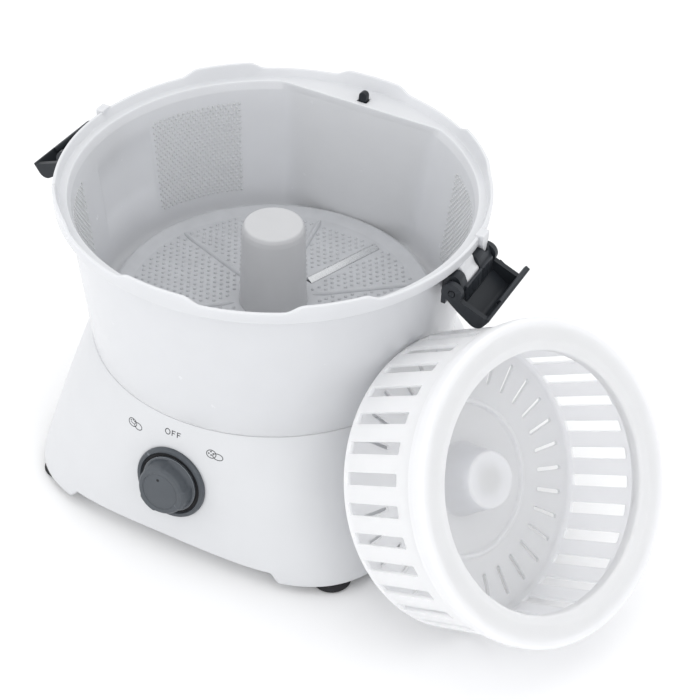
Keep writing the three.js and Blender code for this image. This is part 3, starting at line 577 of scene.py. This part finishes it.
def channel_ring(z):
    ro, yc = wall(z) - 2.6, flat_y(z) + 2.6
    a = math.acos(min(1.0, yc / ro))
    a *= 0.985
    pts = []
    for k in range(25):
        q = math.pi / 2 - a + 2 * a * k / 24
        pts.append((ro * math.cos(q), ro * math.sin(q), z))
    xs = ro * math.sin(a)
    for k in range(1, 8):
        pts.append((-xs + 2 * xs * k / 8, yc, z))
    return pts


chan = loft("chan", [channel_ring(80), channel_ring(125), channel_ring(177)], "bowl_white", loop=False)
slot_pts = fillet([(-3.4, -3.0, 0.7), (3.4, -3.0, 0.7), (3.4, 3.0, 0.7), (-3.4, 3.0, 0.7)])
slot_cut = tube_prism("slotc", slot_pts, -8, 12, "bowl_white", ROD)
boolean(bowl, [chan, slot_cut])
done(bowl, "bowl", "bowl_white", "bowl")

# studs that hold the potatoes, in four fields on the wall
V, F = [], []


def stud(V, F, P, N, T1, T2, r, h, sink, k=8):
    i0 = len(V)
    for rr, hh in ((r, -sink), (r, 0.02), (r * 0.86, h * 0.5), (r * 0.5, h * 0.9)):
        for j in range(k):
            q = 2 * math.pi * j / k
            V.append(P + T1 * (rr * math.cos(q)) + T2 * (rr * math.sin(q)) + N * hh)
    V.append(P + N * h)
    top = len(V) - 1
    F.append(tuple(i0 + j for j in range(k)))
    for m in range(3):
        for j in range(k):
            a, b = i0 + m * k + j, i0 + m * k + (j + 1) % k
            F.append((a, b, b + k, a + k))
    for j in range(k):
        F.append((i0 + 3 * k + j, i0 + 3 * k + (j + 1) % k, top))


slope = math.atan(9.5 / (Z1 - Z0))
for c in (34, 146, 214, 326):
    rows = int((166.0 - 104.0) / 2.15)
    for i in range(rows + 1):
        z = 166.0 - i * 2.15
        R = r_in(z)
        pitch = math.degrees(3.4 / 116.0)
        n = int(30 / pitch)
        for j in range(n + 1):
            d = c - 15 + (j + (0.5 if i % 2 else 0.0)) * pitch
            if d > c + 15.2:
                continue
            q = rad(d)
            N = Vector((-math.cos(q) * math.cos(slope), -math.sin(q) * math.cos(slope), math.sin(slope)))
            T1 = Vector((-math.sin(q), math.cos(q), 0))
            T2 = N.cross(T1)
            P = Vector((R * math.cos(q), R * math.sin(q), z))
            stud(V, F, P, N, T1, T2, 0.95, 0.55, 0.25)
done(make("wall_studs", V, F, "bowl_white", angle=60), "bowl", "bowl_white")

# ---- interlock rod ----------------------------------------------------------
rod = prism("rod_head", [(-2.6, -3), (2.6, -3)] + arc(0, 5.4, 2.6, 0, 180, 24), -2.2, 2.2, "dark_plastic", ROD)
bevel(rod, 0.5, 3, angle=50)
stem_len = (178 - 85.6) / math.cos(math.atan(0.07))
stem = lathe("rod_stem", fillet([(0, -stem_len), (2.2, -stem_len, 0.6), (2.2, -2), (0, -2)], closed=False), "dark_plastic", ROD, seg=32, closed=False)
rod = join("interlock_pin", [rod, stem])
done(rod, "interlock", "dark_plastic", "interlock_rod")

# ---- hub and disc -----------------------------------------------------------
hub_prof = fillet([(0, 153.5), (17.2, 153.5, 1.6), (18.4, 151.0, 2.0), (18.9, 148.0, 1.0), (20.2, 101, 0.5), (20.6, 98.6, 0.2), (13.6, 98.6), (13.6, 107), (0, 107)], closed=False, step=12)
done(lathe("drive_hub_cap", hub_prof, "hub_plastic", seg=128, closed=False), "disc", "hub_plastic", "drive_hub")
dp = fillet([(14, 95, 0.3), (14, 98.3, 0.3), (26, 98.3), (60, 98.3), (88, 98.3, 3.0), (95.8, 100.5, 0.7), (97.8, 100, 0.5), (97.8, 98.6, 0.6), (90, 95, 2.0)])
disc = lathe("abrasive_disc", dp, "disc_plastic", seg=240)
cut = []
for s in (0, 1):
    Rz = Matrix.Rotation(rad(70) + s * math.pi, 4, "Z")
    slot_o = fillet([(27.5, -3.4, 1.0), (84.5, -3.4, 1.0), (84.5, 3.4, 1.0), (27.5, 3.4, 1.0)])
    cut.append(tube_prism("bc%d" % s, slot_o, 96.4, 104, "disc_plastic", Rz))
boolean(disc, cut)
done(disc, "disc", "hub_plastic", "peeling_disc")
# grit studs and low waves on the disc
V, F = [], []
py = 4.6
for i in range(-20, 21):
    for j in range(-20, 21):
        x, y = (j + (0.5 if i % 2 else 0)) * py, i * py * 0.866
        r = math.hypot(x, y)
        if not 25 < r < 87:
            continue
        a = math.atan2(y, x)
        if any(abs(((math.degrees(a) - b + 180) % 360) - 180) * math.pi / 180 * r < 6.0 for b in (70, 250)):
            continue
        if abs(((math.degrees(a) % 60) - 40 + 30) % 60 - 30) * math.pi / 180 * r < 3.2:
            continue
        stud(V, F, Vector((x, y, 98.3)), Vector((0, 0, 1)), Vector((1, 0, 0)), Vector((0, 1, 0)), 1.15, 1.0, 0.3, 7)
done(make("disc_studs", V, F, "disc_plastic", angle=60), "disc", "hub_plastic")
waves = []
for k in range(6):
    if k in ():
        continue
    Rz = Matrix.Rotation(rad(40 + 60 * k), 4, "Z")
    rings = []
    m = 28
    for i in range(m + 1):
        x = lerp(24, 88, i / m)
        e = min(1.0, i / 3, (m - i) / 3) ** 0.5 if 0 < i < m else 0.12
        w, h = 1.9 * max(e, 0.15), 1.7 * e
        rings.append([(x, -w, 98.1), (x, -w, 98.3 + 0.1 * h), (x, -0.7 * w, 98.3 + 0.6 * h), (x, -0.3 * w, 98.3 + 0.94 * h), (x, 0, 98.3 + h), (x, 0.3 * w, 98.3 + 0.94 * h), (x, 0.7 * w, 98.3 + 0.6 * h),
                      (x, w, 98.3 + 0.1 * h), (x, w, 98.1)])
    waves.append(loft("w%d" % k, rings, "disc_plastic", Rz, loop=False, angle=50))
done(join("disc_waves", waves), "disc", "hub_plastic")
for s in (0, 1):
    Rz = Matrix.Rotation(rad(70) + s * math.pi, 4, "Z") @ Matrix.Rotation(math.pi / 2, 4, "Z")
    # outline across the blade in (tangential, z)
    bl = fillet([(-3, 96.7, 0.1), (3, 96.7, 0.1), (3, 98.2, 0.3), (1.4, 100.3, 0.25), (0.5, 100.3, 0.2), (-3, 98.2, 0.3)])
    b = prism("blade_%d" % (s + 1), [(p[0], p[1]) for p in bl], -84, -28, "steel", Rz)
    done(b, "disc", "steel", "disc_blade_%d" % (s + 1))

# ---- latches ----------------------------------------------------------------
OPEN = 35.0
tray_prof = fillet([(9.6, -6.2, 0.7), (24.84, -6.2, 5.4), (24.84, 5.8, 0.8), (22.9, 5.8, 0.8), (22.9, -4.6, 3.0), (9.6, -4.6, 0.7)], step=9)
lip_prof = fillet([(21.6, 5.8, 0.8), (21.6, 2.2, 1.0), (23.5, 2.2), (23.5, 5.785)], step=12)
plate_prof = arc(0, 0, 6.2, 4, 238, 40) + fillet([(-3.0, -5.4), (9.6, -6.215), (24.84, -6.2, 5.4), (24.84, 5.8, 0.8), (22.9, 5.8, 0.8), (22.9, 4.4, 0.9), (6.2, 0.2, 0.6)], closed=False, step=9)[1:-1]


def lever(sx, name, node, body):
    S = Matrix.Scale(sx, 4, (1, 0, 0))
    T = S @ Matrix.Translation((PX, 0, PZ)) @ Matrix.Rotation(rad(OPEN), 4, "Y")
    tray = prism(name, tray_prof, -27.5, 27.5, "dark_plastic", T)
    pl = [prism("p%d" % i, plate_prof, y, y + 3.3, "dark_plastic", T) for i, y in enumerate((-27.5, 16.7))]
    pl.append(prism("lip", lip_prof, -9.0, 27.45, "dark_plastic", T))
    boolean(tray, pl, "UNION")
    hole = prism("h", [(2.2 * math.cos(q * math.pi / 20), 2.2 * math.sin(q * math.pi / 20)) for q in range(40)], -40, 40, "dark_plastic", T)
    boolean(tray, [hole])
    bevel(tray, 0.4, 3, angle=38)
    ob = tray
    return done(ob, body, "dark_plastic", node)


lever(1, "lever_right", "latch_lever_right", "latch_right")
lever(-1, "lever_left", "latch_lever_left", "latch_left")
cheek = fillet([(121.6, 157.0, 0.4), (121.6, 165.2, 0.6)] + [(x, z) for x, z in arc(PX, PZ, 4, -100, 20, 20)] + [(x, z) for x, z in arc(125.6, 173.2, 4, 20, 150, 24)] + [(121.6, 175.5, 0.6), (118.9, 175.5, 0.5), (118.9, 157.0, 0.4)])
for sx, side_ in ((1, "right"), (-1, "left")):
    S = Matrix.Scale(sx, 4, (1, 0, 0))
    for y0, y1, c0, c1, f0, f1, rib_y, end in ((-22, -15, -19, -15, -19, 0.6, (-14.5, -9.0, -3.5), "front"), (1, 16.2, 1, 14.4, 1, 14.4, (3.5, 9.0), "rear")):
        k = prism("k", cheek, y0, y1, "dark_plastic", S)
        arm = prism("a", fillet([(120.0, 160.4), (132.7, 160.4, 0.8), (132.7, 171.0, 0.8), (120.0, 171.0)]), c0 + (0.02 if end == "rear" else 0), c1, "dark_plastic", S)
        face = prism("f", fillet([(131.1, 160.45, 0.4), (132.7, 160.45, 0.6), (132.7, 170.95, 0.6), (131.1, 170.95, 0.4)]), f0 + 0.04, f1 - 0.04, "dark_plastic", S)
        k = boolean(k, [arm, face], "UNION")
        cuts = [prism("h", [(PX + 2.2 * math.cos(q * math.pi / 20), PZ + 2.2 * math.sin(q * math.pi / 20)) for q in range(40)], -40, 40, "dark_plastic", S)]
        if end == "rear":
            cuts.append(prism_x("n", [(7.7, 190), (19, 190), (19, 182), (16.3, 180.4), (14.5, 177.4), (13.9, 174.1), (11.1, 174.1), (8.1, 179.9)], 123.1, 132.0, "dark_plastic", S))
        k = boolean(k, cuts)
        bevel(k, 0.35, 3, angle=38)
        ribs = [bevel(prism("r", [(131.9, 161.8), (132.95, 161.8), (132.95, 170.0), (131.9, 170.0)], y - 0.45, y + 0.45, "dark_plastic", S), 0.15, 2) for y in rib_y]
        k = join("knuckle_%s_%s" % (side_, end), [k] + ribs)
        done(k, "bowl", "dark_plastic", "latch_knuckle_%s_%s" % (side_, end))
    pinp = fillet([(0, -20.5), (1.8, -20.5, 0.4), (1.8, 28.0, 0.4), (0, 28.0)], closed=False)
    pin = lathe("latch_axle_%s" % side_, pinp, "dark_plastic", S @ Matrix.Translation((PX, 0, PZ)) @ Matrix.Rotation(math.pi / 2, 4, "X"), seg=40, closed=False)
    done(pin, "bowl", "dark_plastic", "latch_pin_%s" % side_)

# ---- spin basket ------------------------------------------------------------
az, el = rad(-17.8), rad(33.3)
ax = Vector((math.cos(el) * math.cos(az), math.cos(el) * math.sin(az), math.sin(el)))
bu = Vector((-math.sin(az), math.cos(az), 0))
bv = ax.cross(bu)
BM = Matrix((bu, bv, ax)).transposed().to_4x4()
BM.translation = Vector((210.5, -67.3, 101.35)) - ax * 73.6
bp = fillet([(0, 25.6), (16.1, 25.6, 1.7), (17.0, 20.0), (20.3, 2.6, 0.8), (21.2, 1.0, 0.8), (42.9, 1.0, 1.0), (43.8, 3.2, 0.8), (45.2, 3.2, 0.7), (46.2, 2.2, 0.5), (80.9, 2.2, 2.2), (82.6, 5.0), (83.6, 58.0),
             (84.6, 69.6, 1.5), (83.4, 71.1, 1.0), (77.0, 71.0, 1.8), (73.0, 69.0, 2.0), (72.7, 64.2, 0.6), (71.0, 64.2, 0.6), (71.0, 71.0, 2.2), (76.0, 73.0, 5.0), (84.6, 73.3, 4.0), (88.9, 72.85, 4.4),
             (88.9, 65.6, 2.5), (88.1, 61.4, 1.0), (85.6, 60.7, 0.6), (84.5, 2.0, 1.4), (83.4, 0, 1.6), (45.2, 0, 0.5), (44.0, -1.2, 0.4), (18.6, -1.2, 0.5), (14.4, 11.2), (0, 11.2)], closed=False, step=11)
basket = lathe("basket_shell", bp, "basket_plastic", BM, seg=192, closed=False, angle=30)
PH, NS = -27.7, 32
side_slot = fillet([(-3.4, 4.6, 0.9), (3.4, 4.6, 0.9), (3.4, 48.4, 0.9), (-3.4, 48.4, 0.9)], step=30)
end_slot = arc(57.6, 0, 1.2, 90, 270, 6) + arc(74.1, 0, 1.2, -90, 90, 6)
V, F = [], []


def add_prism(V, F, ring0, ring1):
    n, i0 = len(ring0), len(V)
    V.extend(ring0)
    V.extend(ring1)
    F.append(tuple(range(i0, i0 + n)))
    F.append(tuple(range(i0 + 2 * n - 1, i0 + n - 1, -1)))
    for i in range(n):
        F.append((i0 + i, i0 + (i + 1) % n, i0 + n + (i + 1) % n, i0 + n + i))


for i in range(NS):
    R1 = Matrix.Rotation(rad(PH + 360 / NS * i), 4, "Z")
    R2 = Matrix.Rotation(rad(PH + 360 / NS * (i + 0.5)), 4, "Z")
    add_prism(V, F, [R1 @ Vector((79, p[0], p[1])) for p in side_slot], [R1 @ Vector((95, p[0], p[1])) for p in side_slot])
    add_prism(V, F, [R2 @ Vector((p[0], p[1], -2)) for p in end_slot], [R2 @ Vector((p[0], p[1], 5.0)) for p in end_slot])
HEXR = 14.2 / math.sqrt(3)
hexagon = [(HEXR * math.sin(math.pi * k / 3), HEXR * math.cos(math.pi * k / 3)) for k in range(6)]
add_prism(V, F, [Vector((p[0], p[1], 10.0)) for p in hexagon], [Vector((p[0], p[1], 22.8)) for p in hexagon])
boolean(basket, [make("slots", V, F, "basket_plastic", BM)])
done(basket, "basket", "basket_plastic", "spin_basket")


# ---- print on the front -----------------------------------------------------
def front_point(x, z):
    a, n = base_an(z)
    return Vector((x, -((a ** n - abs(x) ** n) ** (1 / n)), z))


def front_normal(x, z):
    p = front_point(x, z)
    dx = front_point(x + 0.2, z) - p
    dz = front_point(x, z + 0.2) - p
    return dx.cross(dz).normalized()


def stroke(V, F, pts, width, closed=False, proud=0.06, sink=0.06):
    """A flat ribbon along a line in (x, z), lying on the front of the housing."""
    fine = []
    n = len(pts)
    for i in range(n if closed else n - 1):
        a, b = pts[i], pts[(i + 1) % n]
        k = max(1, int(math.hypot(b[0] - a[0], b[1] - a[1]) / 0.5))
        fine += [(lerp(a[0], b[0], j / k), lerp(a[1], b[1], j / k)) for j in range(k)]
    if not closed:
        fine.append(pts[-1])
    m = len(fine)
    rows = []
    for i, (x, z) in enumerate(fine):
        p0 = fine[i - 1] if (i or closed) else fine[0]
        p1 = fine[(i + 1) % m] if (i < m - 1 or closed) else fine[-1]
        tx, tz = p1[0] - p0[0], p1[1] - p0[1]
        l = math.hypot(tx, tz) or 1
        nx, nz = -tz / l * width / 2, tx / l * width / 2
        row = []
        for sgn, hh in ((1, proud), (-1, proud), (-1, -sink), (1, -sink)):
            q = front_point(x + sgn * nx, z + sgn * nz)
            row.append(q + front_normal(x + sgn * nx, z + sgn * nz) * hh)
        rows.append(row)
    i0 = len(V)
    for r in rows:
        V.extend(r)
    for i in range(m if closed else m - 1):
        a, b = i0 + 4 * i, i0 + 4 * ((i + 1) % m)
        for j in range(4):
            F.append((a + j, a + (j + 1) % 4, b + (j + 1) % 4, b + j))
    if not closed:
        F.append((i0, i0 + 1, i0 + 2, i0 + 3))
        e = i0 + 4 * (m - 1)
        F.append((e + 3, e + 2, e + 1, e))


def oval(cx_, cz_, a, b, rot=0.0, n=40, a0=0.0, a1=360.0):
    pts = []
    for i in range(n if a1 - a0 >= 360 else n + 1):
        q = rad(a0 + (a1 - a0) * i / n)
        x, z = a * math.cos(q), b * math.sin(q)
        pts.append((cx_ + x * math.cos(rot) - z * math.sin(rot), cz_ + x * math.sin(rot) + z * math.cos(rot)))
    return pts


V, F = [], []
lx, lz, H = -1.0, 74.5, 3.6
stroke(V, F, oval(lx - 3.9, lz, 1.55, H / 2, n=32), 0.5, True)
for x0 in (lx - 0.9, lx + 2.6):
    stroke(V, F, [(x0, lz - H / 2), (x0, lz + H / 2)], 0.5)
    stroke(V, F, [(x0 - 0.25, lz + H / 2 - 0.25), (x0 + 2.2, lz + H / 2 - 0.25)], 0.5)
    stroke(V, F, [(x0, lz + 0.05), (x0 + 1.8, lz + 0.05)], 0.5)
done(make("print_off", V, F, "print_grey", angle=60), "base", "grey_plastic")
V, F = [], []
# a leafy shape with a cut half beside it
ix, iz = -28.0, 68.9
stroke(V, F, oval(ix - 1.8, iz + 0.35, 3.0, 2.3, rot=-0.15, n=40), 0.42, True)
stroke(V, F, oval(ix + 2.4, iz - 0.45, 2.7, 2.0, rot=-0.15, n=36), 0.42, True)
for dx, dz in ((-3.2, 1.2), (-1.6, 1.9), (-0.4, 1.5)):
    stroke(V, F, oval(ix + dx, iz + dz, 0.3, 0.22, n=10), 0.34, True)
stroke(V, F, [(ix - 3.4, iz + 0.3), (ix - 0.6, iz - 0.4)], 0.3)
done(make("print_leaf", V, F, "print_grey", angle=60), "base", "grey_plastic")
V, F = [], []
ix, iz = 25.6, 69.3
stroke(V, F, oval(ix - 1.9, iz + 0.4, 2.9, 2.5, rot=-0.15, n=40), 0.42, True)
stroke(V, F, oval(ix + 2.2, iz - 0.5, 3.1, 1.9, rot=-0.15, n=36), 0.42, True)
for dx, dz in ((-3.4, 0.6), (-2.2, 1.9), (-1.9, -0.2), (-0.7, 0.9)):
    stroke(V, F, oval(ix + dx, iz + dz, 0.34, 0.26, n=10), 0.38, True)
done(make("print_potato", V, F, "print_grey", angle=60), "base", "grey_plastic")

# ---- carried-over nodes keep their shape and get their own finish ---------------
for row in frame["record"]["subparts"]:
    ob = NODES.get(row["node"])
    if ob is None:
        continue
    ob.data.materials.clear()
    ob.data.materials.append(MAT[row["material_slot"]])

# ---- floor and light --------------------------------------------------------
bm = bmesh.new()
bmesh.ops.create_grid(bm, x_segments=24, y_segments=24, size=4.0)
me = bpy.data.meshes.new("floor")
bm.to_mesh(me)
bm.free()
floor = bpy.data.objects.new("floor", me)
floor.location = (0, 0, -0.0092)
me.materials.append(MAT["floor_pale"])
scene.collection.objects.link(floor)

world = bpy.data.worlds.new("studio")
scene.world = world
world.use_nodes = True
bg = world.node_tree.nodes["Background"]
bg.inputs[0].default_value = (0.985, 0.99, 1.0, 1)
bg.inputs[1].default_value = 1.05


def area(name, loc, target, size, power, color=(1, 1, 1), size_y=None):
    l = bpy.data.lights.new(name, "AREA")
    l.energy, l.color = power, color
    l.shape = "RECTANGLE"
    l.size, l.size_y = size, size_y or size
    o = bpy.data.objects.new(name, l)
    scene.collection.objects.link(o)
    o.location = loc
    o.rotation_euler = (Vector(target) - Vector(loc)).to_track_quat("-Z", "Y").to_euler()
    return o


area("top_softbox", (0.1, 0.1, 1.9), (0, 0, 0.1), 1.8, 5.0)
area("left_softbox", (-1.5, -1.3, 1.1), (0, 0, 0.1), 1.4, 6.0)
area("front_fill", (0.5, -1.9, 0.7), (0, 0, 0.1), 1.4, 3.0)
area("right_fill", (1.5, -0.9, 1.5), (0.1, 0, 0.12), 1.0, 3.6)

scene.view_settings.view_transform = "Standard"
scene.view_settings.look = "None"
scene.view_settings.exposure = 0.0
scene.view_settings.gamma = 1.0
